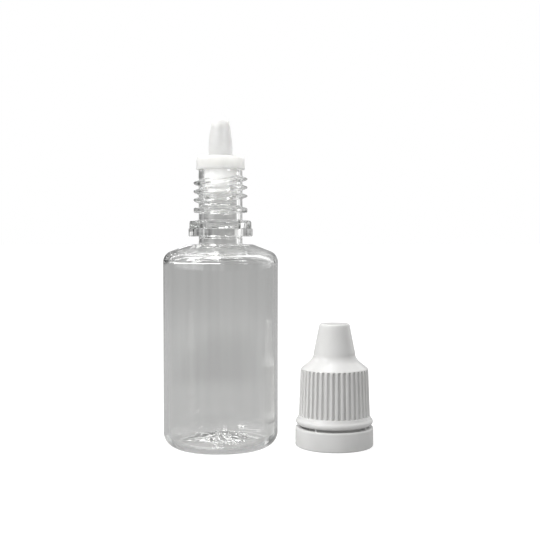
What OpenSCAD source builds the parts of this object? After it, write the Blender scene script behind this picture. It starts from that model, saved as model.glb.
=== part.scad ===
// Squeeze dropper bottle, 30 ml, with its press-in dropper plug and a tamper-evident screw closure.
// The bottle stands at the origin. The closure stands beside it on the same surface, not yet fitted.
// All sizes are in millimetres, +Z is up, and z = 0 is the surface that both stand on.

/* [Bottle body] */
// Outer diameter of the body
body_d = 31; // [28:0.5:36]
// Height of the ledge at the top of the shoulder
ledge_z = 54.6; // [50:0.2:70]
// Wall thickness of the blown body
body_wall = 0.8; // [0.6:0.1:1.2]
// Radius of the rounded edge round the base
base_round = 3.9; // [3:0.1:5]
// Height of the push-up in the middle of the base
push_up = 2; // [1:0.1:3]

/* [Neck] */
// Root diameter of the neck, under the thread
neck_d = 11.8; // [11.4:0.1:12.4]
// Bore diameter of the neck
bore_d = 9.2; // [8.8:0.1:9.4]
// Height of the neck, from the ledge to the rim
neck_h = 20.2; // [20:0.1:22]
// Diameter over the thread crests
thread_d = 14.5; // [14:0.1:14.8]
// Rise of the thread in one turn
thread_pitch = 2.3; // [2.1:0.1:2.5]
// Number of turns of the neck thread
thread_turns = 3.4; // [2:0.2:3.4]
// Diameter of the collar's plain lower tier
collar_d = 17.3; // [16.8:0.1:17.8]
// Number of ratchet teeth on the collar's upper tier
collar_teeth = 12; // [8:1:16]

/* [Dropper plug] */
// Diameter of the plug's flange
plug_flange_d = 13; // [12.4:0.1:13.2]
// Height of the plug's flange
plug_flange_h = 3.45; // [3:0.05:4]
// Length of the skirt that presses into the neck
plug_skirt = 7; // [5:0.5:8]
// Length of the nozzle above the flange
nozzle_h = 10.05; // [9:0.05:10.2]
// Diameter of the nozzle at the flange
nozzle_base_d = 6.6; // [6:0.1:7]
// Diameter of the nozzle just under its rounded tip
nozzle_tip_d = 4.7; // [4.4:0.1:5]
// Diameter of the outlet that forms the drop
outlet_d = 1.4; // [1.3:0.1:1.8]

/* [Closure] */
// Distance from the bottle's axis to the closure's axis
closure_x = 30.9; // [29:0.1:60]
// Diameter of the tamper ring
ring_d = 21.2; // [20.8:0.1:22]
// Height of the tamper ring
ring_h = 5.2; // [4.6:0.1:5.6]
// Gap that the frangible bridges cross
bridge_gap = 0.65; // [0.5:0.05:1]
// Number of frangible bridges
bridge_count = 4; // [4:1:12]
// Height of the closure, from the surface to its top
closure_h = 33.1; // [32.8:0.1:36]
// Number of grip ribs
rib_count = 40; // [30:1:44]
// Diameter over the ribs at the flange
rib_foot_d = 19.3; // [19:0.1:19.8]
// Diameter over the ribs at their top
rib_top_d = 18.4; // [18.2:0.1:19]
// Depth of the grooves between the ribs
groove_depth = 0.66; // [0.4:0.02:0.7]

/* [Hidden] */
$fn = 96;

// Bottle heights and radii
body_r = body_d / 2;
shoulder_round = 3.1;
shoulder_slope = 21;
ledge_r = 8.8;
foot_outer_r = body_r - base_round;
foot_width = 0.6;
foot_inner_r = foot_outer_r - foot_width;
gate_r = 1.6;
gate_h = 0.4;
floor_t = 1.1;
arc_steps = 8;

// Neck
neck_r = neck_d / 2;
bore_r = bore_d / 2;
rim_z = ledge_z + neck_h;
rim_chamfer = 0.55;
collar_foot_z = ledge_z + 2.2;
collar_step_z = collar_foot_z + 2.1;
collar_top_z = collar_step_z + 2.15;
collar_r = collar_d / 2;
tooth_tip_r = collar_r - 0.2;
tooth_root_r = collar_r - 0.9;
tooth_phase = 281.3;
bead_foot_z = collar_top_z + 2.15;
bead_top_z = bead_foot_z + 1.2;
bead_r = thread_d / 2;
bead_round = 0.3;
thread_start_z = bead_top_z + 1.05;
thread_start_angle = 10;
thread_base_w = 1.7;
thread_crest_w = 0.5;
thread_embed = 0.35;
thread_segments = 30;

// Plug
plug_clearance = 0.05;
skirt_r = bore_r - plug_clearance;
skirt_wall = 1.15;
skirt_groove = 0.25;
flange_r = plug_flange_d / 2;
flange_top_z = rim_z + plug_flange_h;
flange_round = 0.7;
lip_h = 0.55;
lip_out = 0.06;
nozzle_top_z = flange_top_z + nozzle_h;
nozzle_base_r = nozzle_base_d / 2;
nozzle_tip_r = nozzle_tip_d / 2;
tip_round = 0.85;
channel_r = 2.1;
channel_tip_r = 1.3;
outlet_r = outlet_d / 2;
outlet_length = 1.9;

// Closure. It is screwed down with its foot at the collar's foot.
closed_z = collar_foot_z - 0.1;
ring_r = ring_d / 2;
ring_wall = 1.3;
ring_round = 0.45;
pawl_reach = 1.15;
pawl_foot_z = 2.3;
pawl_h = 1.9;
pawl_a = 14;
bridge_w = 0.65;
bridge_depth = 0.4;
bridge_phase = -34;
bridge_out_r = ring_r - 0.75;
cap_foot_z = ring_h + bridge_gap;
flange_out_r = ring_r - 0.12;
cap_flange_top_z = cap_foot_z + 2.4;
rib_top_z = 20.3;
groove_r = 0.55;
cap_root_r = 7.55;
cap_crest_r = 6.75;
cap_thread_turns = 3.2;
cap_thread_z = 7.6;
cap_thread_angle = 200;
cap_thread_base_w = 1.4;
cap_thread_embed = 0.3;
seat_z = flange_top_z - closed_z + 0.1;
well_base_r = nozzle_base_r + 0.55;
well_tip_r = nozzle_tip_r + 0.3;
well_top_z = nozzle_top_z - closed_z + 0.1;
seal_pin_r = outlet_r - 0.08;
seal_pin_h = 1.6;
cone_foot_z = 25.2;
cone_foot_r = 5.6;
cone_top_r = 4.1;
cone_top_round = 0.5;

// Points along an arc about (cx, cy), from angle a0 to a1
function arc(cx, cy, r, a0, a1, n = arc_steps) =
    [for (i = [0:n]) let (a = a0 + (a1 - a0) * i / n) [cx + r * cos(a), cy + r * sin(a)]];

// Height of the dished base at radius r, on a floor lifted by lift
function dish(r, lift = 0) = lift + push_up * (1 - pow(r / foot_inner_r, 2));

// Outline of the bottle's outside, from the middle of the base to the rim
function bottle_outside() =
    let (
        slope_end_a = 90 - shoulder_slope,
        slope_top = [ledge_r, ledge_z],
        corner_x = body_r - shoulder_round,
        touch_r = corner_x + shoulder_round * cos(slope_end_a),
        touch_z = slope_top[1] - (touch_r - slope_top[0]) * tan(shoulder_slope),
        corner_z = touch_z - shoulder_round * sin(slope_end_a)
    )
    concat(
        [[0, push_up - gate_h], [gate_r, dish(gate_r) - gate_h], [gate_r, dish(gate_r)]],
        [for (i = [1:6]) let (r = gate_r + (foot_inner_r - gate_r) * i / 6) [r, dish(r)]],
        arc(foot_outer_r, base_round, base_round, -90, 0),
        arc(corner_x, corner_z, shoulder_round, 0, slope_end_a),
        [slope_top, [neck_r, ledge_z], [neck_r, collar_foot_z]],
        [[collar_r - 0.15, collar_foot_z], [collar_r, collar_foot_z + 0.15], [collar_r, collar_step_z - 0.15]],
        [[collar_r - 0.15, collar_step_z], [tooth_root_r, collar_step_z], [tooth_root_r, collar_top_z]],
        [[neck_r, collar_top_z], [neck_r, bead_foot_z]],
        [[bead_r - bead_round, bead_foot_z], [bead_r, bead_foot_z + bead_round]],
        [[bead_r, bead_top_z - bead_round], [bead_r - bead_round, bead_top_z], [neck_r, bead_top_z + 0.6]],
        [[neck_r, rim_z - rim_chamfer], [neck_r - rim_chamfer, rim_z]]
    );

// Outline of the bottle's inside, from the middle of the floor to above the rim
function bottle_inside() =
    let (
        wall_r = body_r - body_wall,
        floor_round = base_round - body_wall + 0.4,
        floor_r = wall_r - floor_round,
        roof_z = ledge_z - 1.1,
        roof_r = ledge_r - 0.5,
        top_round = shoulder_round - body_wall + 0.4,
        top_a = 90 - shoulder_slope,
        touch_r = wall_r - top_round + top_round * cos(top_a),
        touch_z = roof_z - (touch_r - roof_r) * tan(shoulder_slope)
    )
    concat(
        [for (i = [0:6]) let (r = floor_r * i / 6) [r, max(dish(r, floor_t), floor_t)]],
        arc(floor_r, floor_t + floor_round, floor_round, -90, 0),
        arc(wall_r - top_round, touch_z - top_round * sin(top_a), top_round, 0, top_a),
        [[roof_r, roof_z], [bore_r + 0.7, roof_z + 0.35], [bore_r, roof_z + 1.2]],
        [[bore_r, rim_z + 1], [0, rim_z + 1]]
    );

// A helical ridge. It stands out by depth, or in where depth is below zero, and fades at both ends.
module thread(root_r, depth, pitch, turns, start_z, start_angle, base_w, crest_w, embed) {
    n = ceil(thread_segments * turns);
    fade = thread_segments / 4;
    foot_r = root_r - sign(depth) * embed;
    function section(i) = let (
        a = start_angle + 360 * turns * i / n,
        z = start_z + pitch * turns * i / n,
        s = max(0.05, min(1, i / fade, (n - i) / fade)),
        r = root_r + depth * s,
        w = crest_w + (base_w - crest_w) * (1 - s) * 0.5
    ) [
        [foot_r * cos(a), foot_r * sin(a), z - base_w / 2],
        [r * cos(a), r * sin(a), z - w / 2],
        [r * cos(a), r * sin(a), z + w / 2],
        [foot_r * cos(a), foot_r * sin(a), z + base_w / 2]
    ];
    points = [for (i = [0:n]) each section(i)];
    sides = [for (i = [0:n - 1], j = [0:3]) let (a = 4 * i + j, b = 4 * i + (j + 1) % 4)
        each [[a, b, a + 4], [b, b + 4, a + 4]]];
    ends = [[0, 2, 1], [0, 3, 2], [4 * n, 4 * n + 1, 4 * n + 2], [4 * n, 4 * n + 2, 4 * n + 3]];
    faces = concat(sides, ends);
    polyhedron(points, depth > 0 ? faces : [for (f = faces) [f[2], f[1], f[0]]]);
}

// Saw teeth round the collar. Each rises steeply and falls away over its width.
module collar_ratchet() {
    pitch_a = 360 / collar_teeth;
    fall = [0, 0.35, 0.7, 0.97];
    outline = [for (k = [0:collar_teeth - 1], f = fall)
        let (a = tooth_phase + pitch_a * (k + f), r = tooth_tip_r + (tooth_root_r + 0.05 - tooth_tip_r) * f)
        [r * cos(a), r * sin(a)]];
    translate([0, 0, collar_step_z - 0.2]) linear_extrude(collar_top_z - collar_step_z + 0.2)
        polygon(outline);
}

module bottle() {
    color([0.75, 0.76, 0.76, 0.5]) difference() {
        union() {
            rotate_extrude() polygon(concat(bottle_outside(), [[0, rim_z]]));
            collar_ratchet();
            thread(neck_r, bead_r - neck_r, thread_pitch, thread_turns, thread_start_z,
                thread_start_angle, thread_base_w, thread_crest_w, thread_embed);
        }
        rotate_extrude() polygon(bottle_inside());
    }
}

// Outline of the plug's outside, from the skirt's foot up to the nozzle's tip
function plug_outside() =
    concat(
        [[skirt_r - 0.35, rim_z - plug_skirt], [skirt_r, rim_z - plug_skirt + 0.6]],
        [[skirt_r, rim_z - 4.6], [skirt_r - skirt_groove, rim_z - 4.3]],
        [[skirt_r - skirt_groove, rim_z - 2.6], [skirt_r, rim_z - 2.3], [skirt_r, rim_z]],
        [[flange_r + lip_out, rim_z], [flange_r + lip_out, rim_z + lip_h], [flange_r, rim_z + lip_h + 0.1]],
        arc(flange_r - flange_round, flange_top_z - flange_round, flange_round, 0, 90, 6),
        [[nozzle_base_r + 0.4, flange_top_z], [nozzle_base_r, flange_top_z + 0.4]],
        [for (i = [1:6]) let (t = i / 6)
            [nozzle_base_r - 0.08 - (nozzle_base_r - nozzle_tip_r - 0.08) * pow(t, 2.2),
                flange_top_z + 0.4 + (nozzle_h - 0.4 - tip_round) * t]],
        arc(nozzle_tip_r - tip_round, nozzle_top_z - tip_round, tip_round, 15, 90, 5)
    );

module dropper_plug() {
    color([0.93, 0.93, 0.92, 0.9]) difference() {
        rotate_extrude() polygon(concat(plug_outside(), [[0, nozzle_top_z], [0, rim_z - plug_skirt]]));
        rotate_extrude() polygon([
            [0, rim_z - plug_skirt - 1],
            [skirt_r - skirt_wall, rim_z - plug_skirt - 1],
            [skirt_r - skirt_wall, flange_top_z - 1.6],
            [channel_r, flange_top_z],
            [channel_tip_r, nozzle_top_z - outlet_length],
            [0, nozzle_top_z - outlet_length]
        ]);
        translate([0, 0, nozzle_top_z - outlet_length - 1]) cylinder(h = outlet_length + 2, r = outlet_r);
    }
}

// Outline of the cap's outside at the rib crests, from its foot up to the top
function cap_outside() =
    concat(
        [[flange_out_r - 0.6, cap_foot_z]],
        arc(flange_out_r - 0.7, cap_foot_z + 0.85, 0.7, -60, 35, 6),
        [[rib_foot_d / 2 + 0.1, cap_flange_top_z], [rib_foot_d / 2, cap_flange_top_z + 0.1]],
        arc(rib_top_d / 2 - 1.2, rib_top_z, 1.2, 0, 50, 5),
        [for (i = [1:6]) let (t = i / 6, e = pow(1 - t, 2.2))
            [cone_foot_r + (7.35 - cone_foot_r) * e, cone_foot_z - (cone_foot_z - 22.35) * (1 - t)]],
        arc(cone_top_r - cone_top_round, closure_h - cone_top_round, cone_top_round, 10, 90, 5)
    );

module grip_grooves() {
    lean = atan2((rib_foot_d - rib_top_d) / 2, rib_top_z - cap_flange_top_z);
    for (k = [0:rib_count - 1])
        rotate([0, 0, 360 * (k + 0.5) / rib_count])
            translate([rib_foot_d / 2 + groove_r - groove_depth, 0, cap_flange_top_z + 0.15])
                rotate([0, -lean, 0]) cylinder(h = rib_top_z - cap_flange_top_z + 0.6, r = groove_r, $fn = 24);
}

// The space inside the cap: thread well, seat for the plug's flange and well for the nozzle
module cap_inside() {
    rotate_extrude() polygon([
        [0, cap_foot_z - 1],
        [cap_root_r + 0.5, cap_foot_z - 1],
        [cap_root_r + 0.5, cap_foot_z + 0.4],
        [cap_root_r, cap_foot_z + 0.9],
        [cap_root_r, seat_z - 2.2],
        [cap_crest_r, seat_z - 1.3],
        [cap_crest_r, seat_z],
        [well_base_r, seat_z],
        [well_tip_r, well_top_z],
        [0, well_top_z]
    ]);
}

module cap() {
    color([0.93, 0.93, 0.92]) translate([closure_x, 0, 0]) {
        difference() {
            rotate_extrude() polygon(concat([[0, cap_foot_z]], cap_outside(), [[0, closure_h]]));
            grip_grooves();
            cap_inside();
        }
        thread(cap_root_r, cap_crest_r - cap_root_r, thread_pitch, cap_thread_turns, cap_thread_z,
            cap_thread_angle, cap_thread_base_w, thread_crest_w, cap_thread_embed);
        translate([0, 0, well_top_z - seal_pin_h]) cylinder(h = seal_pin_h + 0.3, r = seal_pin_r);
    }
}

module tamper_ring() {
    inner_r = ring_r - ring_wall;
    pitch_a = 360 / collar_teeth;
    color([0.93, 0.93, 0.92]) translate([closure_x, 0, 0]) {
        rotate_extrude() polygon(concat(
            [[inner_r, 0.3], [inner_r + 0.3, 0]],
            arc(ring_r - ring_round, ring_round, ring_round, -90, 0, 4),
            arc(ring_r - ring_round, ring_h - ring_round, ring_round, 0, 90, 4),
            [[inner_r, ring_h]]
        ));
        for (k = [0:collar_teeth - 1])
            rotate([0, 0, pitch_a * k]) translate([0, 0, pawl_foot_z]) linear_extrude(pawl_h)
                polygon([
                    [inner_r + 0.3, 0],
                    [(inner_r + 0.5) * cos(pawl_a - 2), -(inner_r + 0.5) * sin(pawl_a - 2)],
                    [(inner_r + 0.1) * cos(pawl_a), -(inner_r + 0.1) * sin(pawl_a)],
                    [inner_r - pawl_reach, 0]
                ]);
    }
}

// Pins from the top of the ring to the foot of the cap
module tamper_bridges() {
    color([0.93, 0.93, 0.92]) translate([closure_x, 0, 0])
        for (k = [0:bridge_count - 1])
            rotate([0, 0, bridge_phase + 360 * k / bridge_count])
                translate([bridge_out_r - bridge_depth, -bridge_w / 2, ring_h])
                    cube([bridge_depth, bridge_w, bridge_gap]);
}

bottle();
dropper_plug();
cap();
tamper_ring();
tamper_bridges();
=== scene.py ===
import math

import bmesh
import bpy
import numpy as np
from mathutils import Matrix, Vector


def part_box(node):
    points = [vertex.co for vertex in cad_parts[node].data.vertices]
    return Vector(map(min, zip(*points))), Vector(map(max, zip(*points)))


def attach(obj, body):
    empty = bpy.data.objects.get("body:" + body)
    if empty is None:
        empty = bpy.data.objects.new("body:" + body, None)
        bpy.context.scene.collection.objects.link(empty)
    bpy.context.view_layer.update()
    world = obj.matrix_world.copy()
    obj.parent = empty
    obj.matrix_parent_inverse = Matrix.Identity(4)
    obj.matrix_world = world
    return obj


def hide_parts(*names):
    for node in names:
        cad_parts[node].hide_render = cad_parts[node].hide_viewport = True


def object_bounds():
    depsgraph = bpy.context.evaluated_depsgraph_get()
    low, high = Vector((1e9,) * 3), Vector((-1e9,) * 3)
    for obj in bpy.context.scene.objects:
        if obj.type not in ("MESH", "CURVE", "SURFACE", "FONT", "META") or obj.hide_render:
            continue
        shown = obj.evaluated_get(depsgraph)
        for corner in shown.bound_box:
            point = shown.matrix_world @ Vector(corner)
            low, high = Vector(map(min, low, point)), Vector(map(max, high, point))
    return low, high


# The looks of a 30 ml squeeze dropper bottle, its press-in plug and its tamper-evident closure.
# Outlines are written in millimetres, as radius and height, and become metres in lathe().
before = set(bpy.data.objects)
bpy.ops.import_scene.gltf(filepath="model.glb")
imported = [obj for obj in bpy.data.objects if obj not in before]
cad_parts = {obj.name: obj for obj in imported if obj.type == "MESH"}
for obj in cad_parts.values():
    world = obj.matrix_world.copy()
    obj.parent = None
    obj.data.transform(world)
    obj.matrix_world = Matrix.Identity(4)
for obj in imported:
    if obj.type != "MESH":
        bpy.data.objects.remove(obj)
cad_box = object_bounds()

MM = 0.001
TAU = 2 * math.pi


def box_mm(node):
    """Lowest and highest corner of a CAD node, in millimetres."""
    low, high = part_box(node)
    return low / MM, high / MM


BOTTLE_LOW, BOTTLE_HIGH = box_mm("bottle")
PLUG_LOW, PLUG_HIGH = box_mm("dropper_plug")
CAP_LOW, CAP_HIGH = box_mm("cap")
RING_LOW, RING_HIGH = box_mm("tamper_ring")

# Bottle. Its collar and the tamper ring have as many sectors, in degrees, as there are teeth.
BODY_R = (BOTTLE_HIGH.x - BOTTLE_LOW.x) / 2
FLOOR_Z = 1.1
RIM_Z = BOTTLE_HIGH.z
LEDGE_Z = RIM_Z - 20.2
NECK_R = 5.9
BORE_R = 4.6
WALL = 0.8
BASE_ROUND = 3.9
PUSH_UP = 2.0
FOOT_R = BODY_R - BASE_ROUND
DISH_R = FOOT_R - 0.6
SHOULDER_ROUND = 3.1
SHOULDER_SLOPE = math.radians(21)
LEDGE_R = 8.8
COLLAR_R = 8.65
COLLAR_FOOT_Z = LEDGE_Z + 2.2
COLLAR_STEP_Z = COLLAR_FOOT_Z + 2.1
COLLAR_TOP_Z = COLLAR_STEP_Z + 2.15
TOOTH_COUNT = 12
SECTOR = 360 / TOOTH_COUNT
TOOTH_TIP_R = 8.45
TOOTH_ROOT_R = 7.8
TOOTH_PHASE = math.radians(281.3)
BEAD_R = 7.25
BEAD_FOOT_Z = COLLAR_TOP_Z + 2.15
BEAD_TOP_Z = BEAD_FOOT_Z + 1.2
THREAD_R = 7.25
THREAD_Z = BEAD_TOP_Z + 1.05
PITCH = 2.3

# Radius of each ring of dots under the base, and how many dots it has
DOT_RINGS = ((5.2, 14), (7.4, 22))

# Plug
FLANGE_R = 6.5
FLANGE_TOP_Z = RIM_Z + 3.45
SKIRT_R = 4.55
NOZZLE_R = 3.3
NOZZLE_TIP_R = 2.35
TIP_ROUND = 0.85
OUTLET_R = 0.7
OUTLET_DEPTH = 1.9
SEAT_GAP = 0.01

# Closure
CLOSURE_X = (CAP_HIGH.x + CAP_LOW.x) / 2
CAP_FOOT_Z = CAP_LOW.z
CAP_TOP_Z = CAP_HIGH.z
CAP_FLANGE_R = (CAP_HIGH.x - CAP_LOW.x) / 2
RING_R = (RING_HIGH.x - RING_LOW.x) / 2
RING_H = RING_HIGH.z
PAWL_FOOT_Z = 2.25
PAWL_TOP_Z = 4.25
PAWL_REACH = 1.15
BRIDGE_COUNT = 4
BRIDGE_WIDTH = 0.62
BRIDGE_DEPTH = 0.38
BRIDGE_PHASE = math.radians(-34)
RIB_COUNT = 40
RIB_FOOT_R = 9.65
RIB_TOP_R = 9.2
RIB_FOOT_Z = CAP_FOOT_Z + 2.4
RIB_TOP_Z = 20.3
GROOVE_DEPTH = 0.66
CAP_BORE_R = 7.55
CAP_THREAD_R = 6.75
CAP_THREAD_Z = 7.6
SEAT_Z = 21.65
CONE_FOOT_R = 5.6
CONE_FOOT_Z = 25.2
CAP_TIP_R = 4.1
CAP_TIP_ROUND = 0.5

# Camera: place in metres, lens in millimetres, downward tilt in degrees
CAMERA_AT = (0.01338, -0.250, 0.0555)
CAMERA_LENS = 61.47
CAMERA_TILT = 1.79

# Brightness of the room and floor, to every ray but the camera's
ROOM_LEFT = 1.5
ROOM_LEFT_BACK = 0.7
ROOM_RIGHT = 0.36
ROOM_RIGHT_BACK = 1.4
ROOM_AHEAD = 0.55
BACKDROP = 0.4
FLOOR_GLOW = 0.278
FLOOR_DIM_GLOW = 0.17
WINDOW = 0.55
DOORWAY = 0.3


# ---------------------------------------------------------------- outlines

def arc(cx, cz, radius, start, end, steps):
    """Points on an arc about (cx, cz), angles in degrees."""
    turns = np.radians(np.linspace(start, end, steps + 1))
    return [(cx + radius * math.cos(a), cz + radius * math.sin(a)) for a in turns]


def rounded(corners, steps=3):
    """An outline through (r, z, radius) corners. A corner with a radius is rounded off."""
    points = []
    for i, (r, z, radius) in enumerate(corners):
        here = Vector((r, z))
        if not radius:
            points.append((r, z))
            continue
        back = Vector(corners[i - 1][:2]) - here
        ahead = Vector(corners[i + 1][:2]) - here
        cut = min(radius / math.tan(back.angle(ahead) / 2), 0.49 * back.length, 0.49 * ahead.length)
        first = here + back.normalized() * cut
        last = here + ahead.normalized() * cut
        for t in np.linspace(0, 1, steps + 1):
            p = first * (1 - t) ** 2 + here * 2 * t * (1 - t) + last * t ** 2
            points.append((p.x, p.y))
    return points


def refined(points, step):
    """The same outline, with no piece of it longer than step."""
    fine = [points[0]]
    for (r0, z0), (r1, z1) in zip(points, points[1:]):
        pieces = max(1, math.ceil(math.hypot(r1 - r0, z1 - z0) / step))
        for k in range(1, pieces + 1):
            fine.append((r0 + (r1 - r0) * k / pieces, z0 + (z1 - z0) * k / pieces))
    return fine


def smooth(t):
    """Smooth step of t, from 0 to 1."""
    t = np.clip(t, 0, 1)
    return t * t * (3 - 2 * t)


def plain(r, z, angle):
    """The relief of a surface that has none."""
    return r + 0 * angle, z + 0 * angle


# ---------------------------------------------------------------- meshes

def grid(parts, angles):
    """Radius and height of every point: a row for each outline point, a column for each angle."""
    turn = angles[None, :]
    rows_r = []
    rows_z = []
    for outline, relief in parts:
        line = np.array(outline, float)
        r, z = relief(line[:, :1], line[:, 1:], turn)
        rows_r.append(r)
        rows_z.append(z)
    return np.concatenate(rows_r), np.concatenate(rows_z)


def quads(rows, columns, closed):
    """Faces of a grid that wraps round in angle and, where closed, from the last row to the first."""
    down = np.arange(rows if closed else rows - 1)[:, None]
    across = np.arange(columns)[None, :]
    below = (down + 1) % rows
    beside = (across + 1) % columns
    corners = [
        down * columns + across,
        down * columns + beside,
        below * columns + beside,
        below * columns + across,
    ]
    return np.stack(corners, axis=-1).reshape(-1, 4).tolist()


def lathe(name, parts, angles, centre_x=0.0, closed=False):
    """A closed piece turned about a vertical axis, from outline parts with their relief functions.
    An open outline starts and ends on the axis; its first and last rows become single points."""
    r, z = grid(parts, angles)
    rows, columns = r.shape
    x = centre_x + r * np.cos(angles)[None, :]
    y = r * np.sin(angles)[None, :]
    points = np.stack([x, y, z], axis=-1).reshape(-1, 3)
    if closed:
        faces = quads(rows, columns, True)
    else:
        first = points[0]
        last = points[-1]
        points = np.concatenate([points[columns:-columns], [first, last]])
        inner = rows - 2
        faces = quads(inner, columns, False)
        start = inner * columns
        end = (inner - 1) * columns
        for k in range(columns):
            n = (k + 1) % columns
            faces.append([start, n, k])
            faces.append([start + 1, end + k, end + n])
    return mesh_object(name, points, faces)


def mesh_object(name, points, faces):
    """A smooth-shaded mesh object from points in millimetres, with outward normals."""
    mesh = bpy.data.meshes.new(name)
    mesh.from_pydata((points * MM).tolist(), [], faces)
    mesh.validate()
    work = bmesh.new()
    work.from_mesh(mesh)
    bmesh.ops.recalc_face_normals(work, faces=work.faces)
    work.to_mesh(mesh)
    work.free()
    mesh.polygons.foreach_set("use_smooth", [True] * len(mesh.polygons))
    piece = bpy.data.objects.new(name, mesh)
    bpy.context.scene.collection.objects.link(piece)
    return piece


def thread_height(z, angle, start_z, start_angle, turns, base_w, crest_w):
    """0 on the root and 1 on the crest of a right-hand thread, which fades out at both ends."""
    first = ((angle - start_angle) % TAU) / TAU
    height = 0 * (z + angle)
    for k in range(math.ceil(turns) + 1):
        turn = first + k
        flank = (base_w / 2 - abs(z - start_z - PITCH * turn)) / ((base_w - crest_w) / 2)
        fade = np.minimum(turn, turns - turn) / 0.25
        height = np.maximum(height, smooth(flank) * smooth(fade))
    return height


# ---------------------------------------------------------------- bottle

def dish(r, lift=0.0):
    """Height of the pushed-up base at radius r."""
    return lift + PUSH_UP * (1 - (r / DISH_R) ** 2)


def sector_angles(last, count):
    """Angles once round, in equal sectors, closer together at the steep face that each sector has."""
    sector = np.concatenate([[0, 0.6], np.linspace(1.6, last, count), [29.5]])
    return np.radians(np.concatenate([SECTOR * k + sector for k in range(TOOTH_COUNT)]))


def base_relief(r, z, angle):
    """Fine marks under the base: a cross at the gate and two rings of small dots."""
    x = r * np.cos(angle)
    y = r * np.sin(angle)
    narrow = np.minimum(abs(x), abs(y))
    cross = smooth((0.3 - narrow) / 0.2) * smooth((3.4 - r) / 0.5)
    dots = 0 * cross
    for radius, count in DOT_RINGS:
        spacing = TAU / count
        off = ((angle + spacing / 2) % spacing - spacing / 2) * radius
        distance = np.hypot(off, r - radius)
        dots = np.maximum(dots, smooth((0.55 - distance) / 0.4))
    return r + 0 * angle, z - 0.22 * np.maximum(cross, dots)


def floor_relief(r, z, angle):
    """The puckered inside of the floor."""
    ripple = 0.13 * np.sin(5 * angle + 1.1 * r) + 0.09 * np.sin(9 * angle - 0.8 * r + 1)
    fade = smooth(r / 2) * smooth((11 - r) / 3)
    return r + 0 * angle, z + ripple * fade


def collar_relief(r, z, angle):
    """Saw teeth on the upper tier. Each rises steeply and falls away over its width."""
    phase = ((angle - TOOTH_PHASE) % (TAU / TOOTH_COUNT)) / (TAU / TOOTH_COUNT)
    tooth_r = TOOTH_TIP_R + (TOOTH_ROOT_R - TOOTH_TIP_R) * phase
    share = (tooth_r - NECK_R) / (TOOTH_TIP_R - NECK_R)
    return NECK_R + (r - NECK_R) * share, z + 0 * angle


def seam(angle, r, height, width):
    """The mould's parting line: a low ridge on two opposite sides."""
    off = ((angle - TOOTH_PHASE + TAU / 4) % (TAU / 2) - TAU / 4) * r
    return height * np.exp(-(off / width) ** 2)


def tier_relief(r, z, angle):
    """The parting line across the collar's lower tier."""
    return r + seam(angle, r, 0.1, 0.16) * smooth((r - 8.2) / 0.3), z + 0 * angle


def neck_relief(r, z, angle):
    """The thread and the parting line on the neck and its bead."""
    start = math.radians(10)
    height = thread_height(z, angle, THREAD_Z, start, turns=3.4, base_w=1.7, crest_w=0.3)
    threaded = np.maximum(r, NECK_R + (THREAD_R - NECK_R) * height)
    return threaded + seam(angle, threaded, 0.03, 0.12), z + 0 * angle


def blown_relief(r, z, angle):
    """The uneven thickness of a blown wall, in soft vertical bands."""
    bands = (
        0.30 * np.sin(3 * angle + 0.9)
        + 0.22 * np.sin(7 * angle + 0.05 * z + 2.1)
        + 0.16 * np.sin(13 * angle - 0.04 * z + 0.4)
        + 0.10 * np.sin(22 * angle + 0.03 * z + 5.0)
    )
    fade = smooth((r - 11) / 3)
    return r - 0.06 * (1 + bands) * fade, z + 0 * angle


def shoulder_arc(wall_r, radius, top_r, top_z, steps):
    """The rounding from an upright wall into the shoulder, whose slope goes on up to (top_r, top_z)."""
    centre_r = wall_r - radius
    touch_r = centre_r + radius * math.sin(SHOULDER_SLOPE)
    touch_z = top_z - (touch_r - top_r) * math.tan(SHOULDER_SLOPE)
    centre_z = touch_z - radius * math.cos(SHOULDER_SLOPE)
    return arc(centre_r, centre_z, radius, 0, math.degrees(math.pi / 2 - SHOULDER_SLOPE), steps)


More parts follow.
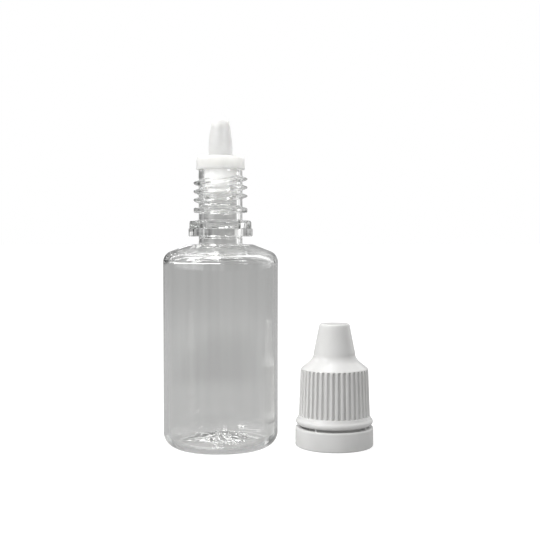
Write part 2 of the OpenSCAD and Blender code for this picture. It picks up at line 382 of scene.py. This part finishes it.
def bottle_parts():
    """The bottle's outside from the middle of the base to the rim, then its inside down to the floor."""
    base = [(r, dish(r)) for r in np.linspace(2.0, DISH_R, 40)]
    gate = rounded([(0, 1.6, 0), (1.35, 1.58, 0.25), (1.65, 1.93, 0.2), (2.0, dish(2.0), 0)])
    foot = arc(FOOT_R, BASE_ROUND, BASE_ROUND, -90, 0, 18)
    shoulder = shoulder_arc(BODY_R, SHOULDER_ROUND, LEDGE_R, LEDGE_Z, 14)
    wall = refined([foot[-1], shoulder[0]], 6.0)[1:-1]
    ledge = rounded([
        (*shoulder[-1], 0), (LEDGE_R, LEDGE_Z, 0.9), (NECK_R, LEDGE_Z + 0.05, 0.35),
        (NECK_R, COLLAR_FOOT_Z, 0.15), (COLLAR_R - 0.7, COLLAR_FOOT_Z, 0),
    ], 4)[1:]
    tier = rounded([
        (COLLAR_R - 0.6, COLLAR_FOOT_Z, 0), (COLLAR_R, COLLAR_FOOT_Z, 0.4),
        (COLLAR_R, COLLAR_STEP_Z, 0.35), (TOOTH_TIP_R - 0.1, COLLAR_STEP_Z, 0),
    ], 5)
    teeth = rounded([
        (TOOTH_TIP_R - 0.08, COLLAR_STEP_Z + 0.02, 0), (TOOTH_TIP_R, COLLAR_STEP_Z + 0.12, 0),
        (TOOTH_TIP_R, COLLAR_TOP_Z, 0.75), (NECK_R, COLLAR_TOP_Z, 0.3), (NECK_R, BEAD_FOOT_Z - 0.6, 0),
    ], 5)
    bead = rounded([
        (NECK_R, BEAD_FOOT_Z - 0.5, 0), (NECK_R, BEAD_FOOT_Z, 0.15), (BEAD_R, BEAD_FOOT_Z, 0.4),
        (BEAD_R, BEAD_TOP_Z, 0.35), (NECK_R + 0.2, BEAD_TOP_Z + 0.35, 0),
    ])
    thread_foot = [(NECK_R + 0.1, BEAD_TOP_Z + 0.45), (NECK_R, BEAD_TOP_Z + 0.6)]
    thread = refined([*thread_foot, (NECK_R, RIM_Z - 0.9)], 0.12)
    rim = rounded([
        (NECK_R, RIM_Z - 0.7, 0), (NECK_R, RIM_Z, 0.5), (BORE_R, RIM_Z, 0.15), (BORE_R, RIM_Z - 1.0, 0),
    ])
    return [
        (gate[:-1], base_relief), (base, base_relief), (foot, plain), (wall, plain), (shoulder, plain),
        (ledge, plain), (tier, tier_relief), (teeth, collar_relief),
        (bead, neck_relief), (thread, neck_relief), (rim, plain), *inside_parts(),
    ]


def inside_parts():
    """The bottle's inside, from the bore down to the middle of the floor."""
    wall_r = BODY_R - WALL
    floor_round = BASE_ROUND - WALL + 0.1
    floor_r = wall_r - floor_round
    roof_r = LEDGE_R - 0.5
    roof_z = LEDGE_Z - 1.1
    shoulder = shoulder_arc(wall_r, SHOULDER_ROUND - WALL + 0.1, roof_r, roof_z, 12)[::-1]
    touch_r, touch_z = shoulder[0]
    mouth = rounded([
        (BORE_R, RIM_Z - 1.2, 0), (BORE_R, roof_z + 1.2, 0.8), (BORE_R + 0.7, roof_z + 0.35, 0.5),
        (roof_r, roof_z, 1.0), (touch_r - 0.1, touch_z + 0.04, 0),
    ], 4)
    foot = arc(floor_r, FLOOR_Z + floor_round, floor_round, 0, -90, 14)
    wall = refined([shoulder[-1], foot[0]], 4.0)[1:-1]
    floor = [(r, max(dish(r, FLOOR_Z), FLOOR_Z)) for r in np.linspace(floor_r - 0.4, 0, 32)]
    return [
        (mouth, plain), (shoulder, blown_relief), (wall, blown_relief), (foot, blown_relief),
        (floor, floor_relief),
    ]


def make_bottle():
    """The clear bottle, one closed shell."""
    piece = lathe("bottle_shell", bottle_parts(), TOOTH_PHASE + sector_angles(28.6, 22))
    piece.data.set_sharp_from_angle(angle=math.radians(42))
    piece.data.materials.append(clear_pet())
    piece.visible_shadow = False
    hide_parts("bottle")
    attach(piece, "bottle_body")


# ---------------------------------------------------------------- plug

def plug_parts():
    """The plug's nozzle, flange and skirt, then its inside from the skirt up to the outlet."""
    top_z = PLUG_HIGH.z
    foot_z = PLUG_LOW.z
    seat_z = RIM_Z + SEAT_GAP
    straight_z = FLANGE_TOP_Z + 0.4
    bend_z = top_z - OUTLET_DEPTH
    tip_flat_r = NOZZLE_TIP_R - TIP_ROUND
    reach = top_z - TIP_ROUND - straight_z
    outlet = rounded([(OUTLET_R, bend_z, 0), (OUTLET_R, top_z, 0.1), (tip_flat_r, top_z, 0)])
    tip = arc(tip_flat_r, top_z - TIP_ROUND, TIP_ROUND, 90, 12, 8)
    side = []
    for t in np.linspace(1, 0, 16):
        r = NOZZLE_R - 0.08 - (NOZZLE_R - NOZZLE_TIP_R - 0.08) * t ** 2.2
        side.append((r, straight_z + reach * t))
    flange = rounded([
        (NOZZLE_R + 0.02, FLANGE_TOP_Z + 0.25, 0), (NOZZLE_R + 0.2, FLANGE_TOP_Z, 0.3),
        (FLANGE_R, FLANGE_TOP_Z, 0.75), (FLANGE_R, RIM_Z + 0.6, 0.05),
        (FLANGE_R + 0.06, RIM_Z + 0.5, 0.05), (FLANGE_R + 0.06, seat_z, 0.12), (SKIRT_R, seat_z, 0.1),
        (SKIRT_R, RIM_Z - 2.3, 0.2), (SKIRT_R - 0.25, RIM_Z - 2.6, 0.2),
        (SKIRT_R - 0.25, RIM_Z - 4.3, 0.2), (SKIRT_R, RIM_Z - 4.6, 0.2),
        (SKIRT_R, foot_z + 0.6, 0.2), (SKIRT_R - 0.35, foot_z, 0.15), (SKIRT_R - 1.15, foot_z, 0.15),
        (SKIRT_R - 1.15, FLANGE_TOP_Z - 1.6, 0.4), (2.1, FLANGE_TOP_Z, 0.4),
        (1.3, bend_z, 0.2), (OUTLET_R, bend_z, 0.1), (OUTLET_R, bend_z + 0.3, 0),
    ])
    return [(outlet[1:-1], plain), (tip, plain), (side, plain), (refined(flange, 1.5), plain)]


def make_plug():
    """The milky dropper plug, one closed ring-shaped shell."""
    angles = np.linspace(0, TAU, 180, endpoint=False)
    piece = lathe("dropper_plug_shell", plug_parts(), angles, closed=True)
    piece.data.materials.append(milky_ldpe())
    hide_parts("dropper_plug")
    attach(piece, "plug_body")


# ---------------------------------------------------------------- closure

def rib_relief(r, z, angle):
    """Grooves between the grip ribs. They run out where the shoulder rounds over."""
    turn = angle * RIB_COUNT / TAU
    across = abs(turn - np.round(turn))
    lean = (z - RIB_FOOT_Z) / (RIB_TOP_Z - RIB_FOOT_Z)
    crest = RIB_FOOT_R + (RIB_TOP_R - RIB_FOOT_R) * lean
    ends = smooth((z - RIB_FOOT_Z - 0.05) / 0.2) * smooth((RIB_TOP_Z + 0.6 - z) / 0.2)
    groove = crest - GROOVE_DEPTH * smooth((across - 0.21) / 0.13) * ends
    return np.minimum(r, groove), z + 0 * angle


def rib_angles():
    """Angles round the cap, closer together at the flanks of the ribs."""
    share = np.array([0, 0.12, 0.2, 0.245, 0.29, 0.345, 0.5, 0.655, 0.71, 0.755, 0.8, 0.88])
    turns = [(k + share) / RIB_COUNT for k in range(RIB_COUNT)]
    return TAU * np.concatenate(turns)


def cap_thread_relief(r, z, angle):
    """The thread inside the cap."""
    start = math.radians(200)
    height = thread_height(z, angle, CAP_THREAD_Z, start, turns=3.2, base_w=1.4, crest_w=0.4)
    return r - (CAP_BORE_R - CAP_THREAD_R) * height, z + 0 * angle


def cap_parts():
    """The cap's inside from the seal pin down to the foot, then its outside up to the top."""
    well_top_z = PLUG_HIGH.z - COLLAR_FOOT_Z + 0.2
    pin_z = well_top_z - 1.6
    well = rounded([
        (0, pin_z, 0), (0.62, pin_z, 0.15), (0.62, well_top_z, 0.1), (2.65, well_top_z, 0.3),
        (3.85, SEAT_Z, 0.2), (CAP_THREAD_R, SEAT_Z, 0.1), (CAP_THREAD_R, SEAT_Z - 1.3, 0.1),
        (CAP_BORE_R, SEAT_Z - 2.2, 0.1), (CAP_BORE_R, SEAT_Z - 3.0, 0),
    ])
    threaded = refined([(CAP_BORE_R, SEAT_Z - 3.2), (CAP_BORE_R, CAP_FOOT_Z + 0.9)], 0.16)
    foot = rounded([
        (CAP_BORE_R, CAP_FOOT_Z + 0.85, 0), (CAP_BORE_R + 0.5, CAP_FOOT_Z + 0.4, 0.1),
        (CAP_BORE_R + 0.5, CAP_FOOT_Z, 0.1), (CAP_FLANGE_R - 0.5, CAP_FOOT_Z, 0),
    ])
    flange = arc(CAP_FLANGE_R - 0.85, CAP_FOOT_Z + 0.85, 0.85, -80, 60, 12)
    rise = rounded([
        (CAP_FLANGE_R - 0.52, CAP_FOOT_Z + 1.7, 0), (RIB_FOOT_R + 0.08, RIB_FOOT_Z - 0.1, 0.2),
        (RIB_FOOT_R, RIB_FOOT_Z + 0.06, 0),
    ])
    ribs = refined([(RIB_FOOT_R, RIB_FOOT_Z + 0.1), (RIB_FOOT_R - 0.01, RIB_FOOT_Z + 0.4)], 0.08)
    ribs += refined([(RIB_FOOT_R - 0.02, RIB_FOOT_Z + 0.5), (RIB_TOP_R, RIB_TOP_Z)], 1.5)
    shoulder = arc(RIB_TOP_R - 1.2, RIB_TOP_Z, 1.2, 3, 50, 14)
    curve = []
    for t in np.linspace(0, 1, 16)[1:]:
        curve.append((CONE_FOOT_R + 1.75 * (1 - t) ** 2.2, CONE_FOOT_Z - 2.85 * (1 - t)))
    edge_z = CAP_TOP_Z - CAP_TIP_ROUND
    cone = refined([(CONE_FOOT_R - 0.1, CONE_FOOT_Z + 0.5), (CAP_TIP_R + 0.04, edge_z)], 1.2)
    crown = arc(CAP_TIP_R - CAP_TIP_ROUND, edge_z, CAP_TIP_ROUND, 12, 90, 6)
    crown += [(2.0, CAP_TOP_Z), (0, CAP_TOP_Z)]
    return [
        (well, plain), (threaded, cap_thread_relief), (foot, plain), (flange, plain), (rise, plain),
        (ribs, rib_relief), (shoulder, rib_relief), (curve, plain), (cone, plain), (crown, plain),
    ]


def make_cap():
    """The white screw cap, one closed shell."""
    piece = lathe("screw_cap", cap_parts(), rib_angles(), CLOSURE_X)
    piece.data.materials.append(white_pp("moulded_white_cap", 4.0))
    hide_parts("cap")
    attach(piece, "cap_body")


def pawl_relief(r, z, angle):
    """Pawls inside the ring. Each is steep on one side and ramps back on the other."""
    back = (-angle) % (TAU / TOOTH_COUNT)
    slant = 1 - back / math.radians(14)
    tall = smooth((z - PAWL_FOOT_Z) / 0.1) * smooth((PAWL_TOP_Z - z) / 0.1)
    return r - PAWL_REACH * np.clip(slant, 0, 1) * tall, z + 0 * angle


def ring_parts():
    """The ring's section, once round, with its rows closer together at the pawls' ends."""
    inner_r = RING_R - 1.3
    outside = rounded([
        (inner_r, 0.3, 0), (inner_r + 0.3, 0, 0.1), (RING_R, 0, 0.5), (RING_R, RING_H, 0.55),
        (inner_r + 0.1, RING_H, 0.12), (inner_r, RING_H - 0.2, 0),
    ], 6)
    stretches = (
        (RING_H - 0.4, PAWL_TOP_Z + 0.1, 0.3),
        (PAWL_TOP_Z + 0.02, PAWL_TOP_Z - 0.13, 0.05),
        (PAWL_TOP_Z - 0.25, PAWL_FOOT_Z + 0.2, 0.3),
        (PAWL_FOOT_Z + 0.12, PAWL_FOOT_Z - 0.03, 0.05),
        (PAWL_FOOT_Z - 0.25, 0.5, 0.5),
    )
    inside = []
    for top_z, foot_z, step in stretches:
        inside += refined([(inner_r, top_z), (inner_r, foot_z)], step)
    return [(outside, plain), (inside, pawl_relief)]


def make_ring():
    """The tamper ring that stays on the collar when the cap is first opened."""
    piece = lathe("tamper_band", ring_parts(), sector_angles(28.8, 21), CLOSURE_X, closed=True)
    piece.data.materials.append(white_pp("moulded_white_band", 7.0))
    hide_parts("tamper_ring")
    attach(piece, "ring_body")


def squarish(half, wave):
    """How far out a rounded square of that half width is, for a sine or cosine of its angle."""
    return math.copysign(abs(wave) ** 0.6, wave) * half


def bridge_pin(angle, rows=9, columns=16):
    """Points and faces of one pin: a rounded bar, thinnest in the middle where it snaps."""
    middle_r = RING_R - 0.95
    points = []
    for i in range(rows):
        t = i / (rows - 1)
        slim = 1 - 0.35 * math.sin(math.pi * t)
        for k in range(columns):
            turn = TAU * k / columns
            r = middle_r + squarish(BRIDGE_DEPTH / 2, math.cos(turn)) * slim
            off = squarish(BRIDGE_WIDTH / 2, math.sin(turn)) * slim
            x = CLOSURE_X + r * math.cos(angle) - off * math.sin(angle)
            y = r * math.sin(angle) + off * math.cos(angle)
            points.append((x, y, RING_H + (CAP_FOOT_Z - RING_H) * t))
    faces = quads(rows, columns, False)
    faces.append(list(range(columns))[::-1])
    faces.append([(rows - 1) * columns + k for k in range(columns)])
    return points, faces


def make_bridges():
    """The frangible pins between the ring and the cap."""
    points = []
    faces = []
    for k in range(BRIDGE_COUNT):
        pin, sides = bridge_pin(BRIDGE_PHASE + TAU * k / BRIDGE_COUNT)
        faces += [[i + len(points) for i in face] for face in sides]
        points += pin
    piece = mesh_object("tamper_pins", np.array(points), faces)
    piece.data.materials.append(white_pp("moulded_white_pins", 11.0))
    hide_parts("tamper_bridges")
    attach(piece, "bridge_body")


# ---------------------------------------------------------------- materials

def new_material(name):
    """A node material with its shader, node tree and links."""
    material = bpy.data.materials.new(name)
    material.use_nodes = True
    tree = material.node_tree
    return material, tree, tree.nodes["Principled BSDF"]


def noise(tree, scale, detail, stretch=(1, 1, 1), seed=0.0):
    """Noise in the piece's own coordinates, in metres. Returns its value socket."""
    place = tree.nodes.new("ShaderNodeTexCoord")
    mapping = tree.nodes.new("ShaderNodeMapping")
    texture = tree.nodes.new("ShaderNodeTexNoise")
    mapping.inputs["Scale"].default_value = stretch
    mapping.inputs["Location"].default_value = (seed, seed, seed)
    texture.inputs["Scale"].default_value = scale
    texture.inputs["Detail"].default_value = detail
    tree.links.new(place.outputs["Object"], mapping.inputs["Vector"])
    tree.links.new(mapping.outputs["Vector"], texture.inputs["Vector"])
    return texture.outputs["Fac"]


def ramp(tree, source, low, high, start=0.35, end=0.65):
    """Colour that runs from low to high as source goes from start to end."""
    node = tree.nodes.new("ShaderNodeValToRGB")
    node.color_ramp.elements[0].position = start
    node.color_ramp.elements[0].color = (*low, 1)
    node.color_ramp.elements[1].position = end
    node.color_ramp.elements[1].color = (*high, 1)
    tree.links.new(source, node.inputs["Fac"])
    return node.outputs["Color"]


def spread(tree, source, low, high):
    """A number that runs from low to high over the middle of source's range."""
    node = tree.nodes.new("ShaderNodeMapRange")
    node.inputs["From Min"].default_value = 0.3
    node.inputs["From Max"].default_value = 0.7
    node.inputs["To Min"].default_value = low
    node.inputs["To Max"].default_value = high
    tree.links.new(source, node.inputs["Value"])
    return node.outputs["Result"]


def bump(tree, source, strength, distance, base=None):
    """A bumped normal, on top of another one where base is given."""
    node = tree.nodes.new("ShaderNodeBump")
    node.inputs["Strength"].default_value = strength
    node.inputs["Distance"].default_value = distance
    tree.links.new(source, node.inputs["Height"])
    if base is not None:
        tree.links.new(base, node.inputs["Normal"])
    return node.outputs["Normal"]


def clear_pet():
    """Clear blown PET: smooth and glossy, with faint drawn streaks and a grey cast where it is thick."""
    material, tree, shader = new_material("clear_blown_pet")
    streaks = noise(tree, 330, 2, (1, 1, 0.035))
    specks = noise(tree, 900, 3)
    tint = ramp(tree, streaks, (0.951, 0.952, 0.947), (0.996, 0.997, 0.992))
    tree.links.new(tint, shader.inputs["Base Color"])
    tree.links.new(spread(tree, specks, 0.0, 0.03), shader.inputs["Roughness"])
    tree.links.new(bump(tree, streaks, 0.12, 0.0004), shader.inputs["Normal"])
    shader.inputs["Transmission Weight"].default_value = 1.0
    shader.inputs["IOR"].default_value = 1.57
    absorption = tree.nodes.new("ShaderNodeVolumeAbsorption")
    absorption.inputs["Color"].default_value = (0.72, 0.73, 0.72, 1)
    absorption.inputs["Density"].default_value = 50
    output = tree.nodes["Material Output"]
    tree.links.new(absorption.outputs["Volume"], output.inputs["Volume"])
    return material


def milky_ldpe():
    """Natural LDPE: milky and soft, letting light through, with a faint cloudiness."""
    material, tree, shader = new_material("milky_natural_ldpe")
    cloud = noise(tree, 350, 3)
    grain = noise(tree, 5000, 2)
    tint = ramp(tree, cloud, (0.765, 0.763, 0.735), (0.805, 0.803, 0.778))
    tree.links.new(tint, shader.inputs["Base Color"])
    tree.links.new(spread(tree, cloud, 0.34, 0.44), shader.inputs["Roughness"])
    tree.links.new(bump(tree, grain, 0.08, 0.00005), shader.inputs["Normal"])
    shader.inputs["Transmission Weight"].default_value = 0.08
    shader.inputs["IOR"].default_value = 1.51
    shader.inputs["Subsurface Weight"].default_value = 1.0
    shader.inputs["Subsurface Radius"].default_value = (1.0, 1.0, 0.95)
    shader.inputs["Subsurface Scale"].default_value = 0.005
    return material


def white_pp(name, seed):
    """White moulded PP: semi-gloss, with a fine satin grain and faint flow marks."""
    material, tree, shader = new_material(name)
    flow = noise(tree, 180, 3, (1, 1, 0.4), seed)
    grain = noise(tree, 3500, 3, seed=seed)
    tint = ramp(tree, flow, (0.682, 0.68, 0.67), (0.722, 0.72, 0.711))
    tree.links.new(tint, shader.inputs["Base Color"])
    tree.links.new(spread(tree, grain, 0.15, 0.24), shader.inputs["Roughness"])
    fine = bump(tree, grain, 0.12, 0.00006)
    tree.links.new(bump(tree, flow, 0.08, 0.0003, fine), shader.inputs["Normal"])
    shader.inputs["IOR"].default_value = 1.49
    shader.inputs["Subsurface Weight"].default_value = 0.05
    shader.inputs["Subsurface Radius"].default_value = (1.0, 0.98, 0.92)
    shader.inputs["Subsurface Scale"].default_value = 0.0008
    return material


# ---------------------------------------------------------------- stage

def long_light_paths():
    """Enough bounces for light that is caught inside the clear wall to find its way out."""
    paths = bpy.context.scene.cycles
    paths.max_bounces = 48
    paths.glossy_bounces = 48
    paths.transmission_bounces = 48


def make_camera():
    """The camera, level with the bottle's middle and looking a little down."""
    data = bpy.data.cameras.new("camera")
    data.sensor_width = 36
    data.lens = CAMERA_LENS
    camera = bpy.data.objects.new("camera", data)
    camera.location = CAMERA_AT
    camera.rotation_euler = (math.radians(90 - CAMERA_TILT), 0, 0)
    bpy.context.scene.collection.objects.link(camera)
    bpy.context.scene.camera = camera


def panel(name, at, target, size, radiance, spread=180):
    """A soft rectangular light of that radiance, hidden from the camera. A small spread, in degrees,
    narrows its beam."""
    width, height = size
    data = bpy.data.lights.new(name, "AREA")
    data.shape = "RECTANGLE"
    data.size = width
    data.size_y = height
    data.energy = radiance * math.pi * width * height
    data.spread = math.radians(spread)
    light = bpy.data.objects.new(name, data)
    light.location = at
    light.rotation_mode = "QUATERNION"
    light.rotation_quaternion = (Vector(at) - Vector(target)).to_track_quat("Z", "Y")
    light.visible_camera = False
    bpy.context.scene.collection.objects.link(light)


def make_lights():
    """Soft strips at the upper left and overhead, a square one at the front left, narrow beams on the
    plug, and panels behind the bottle that glint in its shoulder."""
    centre = (cad_box[0] + cad_box[1]) / 2
    shoulder = (0, 0, MM * LEDGE_Z)
    nozzle = (0, 0, MM * FLANGE_TOP_Z)
    skirt = (0, 0, MM * (RIM_Z - 1.5))
    panel("key", (-0.30, 0.18, 0.60), centre, (0.05, 1.30), 5.0)
    panel("overhead", (-0.04, 0.0, 0.48), centre, (0.70, 0.03), 5.5)
    panel("front_key", (-0.36, -0.22, 0.42), centre, (0.18, 0.18), 11.0)
    panel("plug_light", (0.12, -0.11, 0.12), nozzle, (0.05, 0.05), 0.4, 24)
    panel("skirt_light", (-0.05, -0.19, 0.045), skirt, (0.011, 0.004), 0.6, 1.5)
    panel("back_strip", (-0.05, 0.36, 0.20), shoulder, (0.06, 0.16), 2.3)
    panel("glint_left", (-0.034, 0.34, 0.345), shoulder, (0.05, 0.05), 16.0)
    panel("glint_right", (0.043, 0.34, 0.335), shoulder, (0.016, 0.03), 16.0)


def camera_switch(tree, seen, unseen):
    """A shader that is seen to the camera and unseen to every other ray."""
    path = tree.nodes.new("ShaderNodeLightPath")
    mix = tree.nodes.new("ShaderNodeMixShader")
    tree.links.new(path.outputs["Is Camera Ray"], mix.inputs[0])
    tree.links.new(unseen, mix.inputs[1])
    tree.links.new(seen, mix.inputs[2])
    return mix.outputs["Shader"]


def mapped(tree, source, start, end, low, high):
    """A number that runs smoothly from low to high as source goes from start to end."""
    node = tree.nodes.new("ShaderNodeMapRange")
    node.interpolation_type = "SMOOTHSTEP"
    for socket, value in (("From Min", start), ("From Max", end), ("To Min", low), ("To Max", high)):
        node.inputs[socket].default_value = value
    tree.links.new(source, node.inputs["Value"])
    return node.outputs["Result"]


def maths(tree, operation, first, second):
    """The sum, product or other operation of two numbers."""
    node = tree.nodes.new("ShaderNodeMath")
    node.operation = operation
    tree.links.new(first, node.inputs[0])
    tree.links.new(second, node.inputs[1])
    return node.outputs["Value"]


def band(tree, source, start, end, height, soft=0.12):
    """A number that is height while source is between start and end, and 0 away from there."""
    rise = mapped(tree, source, start, start + soft, 0.0, height)
    fall = mapped(tree, source, end - soft, end, 1.0, 0.0)
    return maths(tree, "MULTIPLY", rise, fall)


def room_bands(tree, direction):
    """Tall soft bands round the room, like walls and windows out of focus."""
    mapping = tree.nodes.new("ShaderNodeMapping")
    mapping.inputs["Scale"].default_value = (1, 1, 0.12)
    texture = tree.nodes.new("ShaderNodeTexNoise")
    texture.inputs["Scale"].default_value = 4.0
    texture.inputs["Detail"].default_value = 1.0
    tree.links.new(direction, mapping.inputs["Vector"])
    tree.links.new(mapping.outputs["Vector"], texture.inputs["Vector"])
    return texture.outputs["Fac"]


def walls_level(tree, x, y):
    """How bright the room's walls are in the direction x, y: left to right, front to back."""
    left = mapped(tree, x, -0.9, 0.9, 1.0, 0.0)
    left_level = mapped(tree, y, -0.3, 0.5, ROOM_LEFT, ROOM_LEFT_BACK)
    left = maths(tree, "MULTIPLY", left, left_level)
    right = mapped(tree, x, -0.9, 0.9, 0.0, 1.0)
    right_level = mapped(tree, y, -0.1, 0.3, ROOM_RIGHT, ROOM_RIGHT_BACK)
    right = maths(tree, "MULTIPLY", right, right_level)
    ahead = mapped(tree, y, -1.0, -0.4, ROOM_AHEAD, 1.0)
    return maths(tree, "MULTIPLY", maths(tree, "ADD", left, right), ahead)


def room_level(tree):
    """How bright the room is all round: banded walls, a plain backdrop straight behind, and behind
    the object a dark doorway on the left and a bright window on the right."""
    place = tree.nodes.new("ShaderNodeTexCoord")
    parts = tree.nodes.new("ShaderNodeSeparateXYZ")
    tree.links.new(place.outputs["Generated"], parts.inputs["Vector"])
    x = parts.outputs["X"]
    y = parts.outputs["Y"]
    bands = mapped(tree, room_bands(tree, place.outputs["Generated"]), 0.35, 0.65, 0.45, 1.55)
    walls = maths(tree, "MULTIPLY", walls_level(tree, x, y), bands)
    around = mapped(tree, y, 0.6, 0.95, 1.0, 0.0)
    backdrop = mapped(tree, y, 0.6, 0.95, 0.0, BACKDROP)
    level = maths(tree, "ADD", maths(tree, "MULTIPLY", walls, around), backdrop)
    behind = mapped(tree, y, 0.0, 0.3, 0.0, 1.0)
    window = maths(tree, "MULTIPLY", band(tree, x, 0.4, 0.7, WINDOW), behind)
    doorway = maths(tree, "MULTIPLY", band(tree, x, -0.88, -0.22, DOORWAY), behind)
    return maths(tree, "SUBTRACT", maths(tree, "ADD", level, window), doorway)


def make_world():
    """A white backdrop to the camera, and a grey, uneven room to every other ray."""
    world = bpy.data.worlds.new("studio")
    world.use_nodes = True
    bpy.context.scene.world = world
    tree = world.node_tree
    room = tree.nodes["Background"]
    room.inputs["Color"].default_value = (1, 1, 1, 1)
    tree.links.new(room_level(tree), room.inputs["Strength"])
    white = tree.nodes.new("ShaderNodeBackground")
    white.inputs["Color"].default_value = (1, 1, 1, 1)
    both = camera_switch(tree, white.outputs["Background"], room.outputs["Background"])
    tree.links.new(both, tree.nodes["World Output"].inputs["Surface"])


def glow_and_diffuse(tree, diffuse, glow=0.0, level=None):
    """A matt grey surface with a glow added to it. Where there is a level, the glow follows it."""
    emission = tree.nodes.new("ShaderNodeEmission")
    emission.inputs["Strength"].default_value = glow
    if level is not None:
        tree.links.new(level, emission.inputs["Strength"])
    matt = tree.nodes.new("ShaderNodeBsdfDiffuse")
    matt.inputs["Color"].default_value = (diffuse, diffuse, diffuse, 1)
    both = tree.nodes.new("ShaderNodeAddShader")
    tree.links.new(emission.outputs["Emission"], both.inputs[0])
    tree.links.new(matt.outputs["BSDF"], both.inputs[1])
    return both.outputs["Shader"]


def floor_level(tree):
    """The floor's glow, with a soft dim patch behind the bottle."""
    place = tree.nodes.new("ShaderNodeTexCoord")
    parts = tree.nodes.new("ShaderNodeSeparateXYZ")
    tree.links.new(place.outputs["Object"], parts.inputs["Vector"])
    near = mapped(tree, parts.outputs["Y"], 0.07, 0.14, 0.0, 1.0)
    far = mapped(tree, parts.outputs["Y"], 0.18, 0.46, 1.0, 0.0)
    across = band(tree, parts.outputs["X"], -0.07, 0.05, 1.0, 0.08)
    patch = maths(tree, "MULTIPLY", maths(tree, "MULTIPLY", near, far), across)
    return mapped(tree, patch, 0.0, 1.0, FLOOR_GLOW, FLOOR_DIM_GLOW)


def make_floor():
    """A plain pale floor, just under the object's feet. It is greyer to every ray but the camera's."""
    half = 12
    drop = -0.00002
    mesh = bpy.data.meshes.new("floor")
    corners = [(-half, -half, drop), (half, -half, drop), (half, half, drop), (-half, half, drop)]
    mesh.from_pydata(corners, [], [(0, 1, 2, 3)])
    floor = bpy.data.objects.new("floor", mesh)
    bpy.context.scene.collection.objects.link(floor)
    material = bpy.data.materials.new("pale_floor")
    material.use_nodes = True
    tree = material.node_tree
    pale = glow_and_diffuse(tree, diffuse=0.3, glow=0.8)
    grey = glow_and_diffuse(tree, diffuse=0.17, level=floor_level(tree))
    both = camera_switch(tree, pale, grey)
    tree.links.new(both, tree.nodes["Material Output"].inputs["Surface"])
    mesh.materials.append(material)


bpy.context.scene.view_settings.view_transform = "Standard"
long_light_paths()
make_camera()
make_world()
make_floor()
make_lights()
make_bottle()
make_plug()
make_cap()
make_ring()
make_bridges()
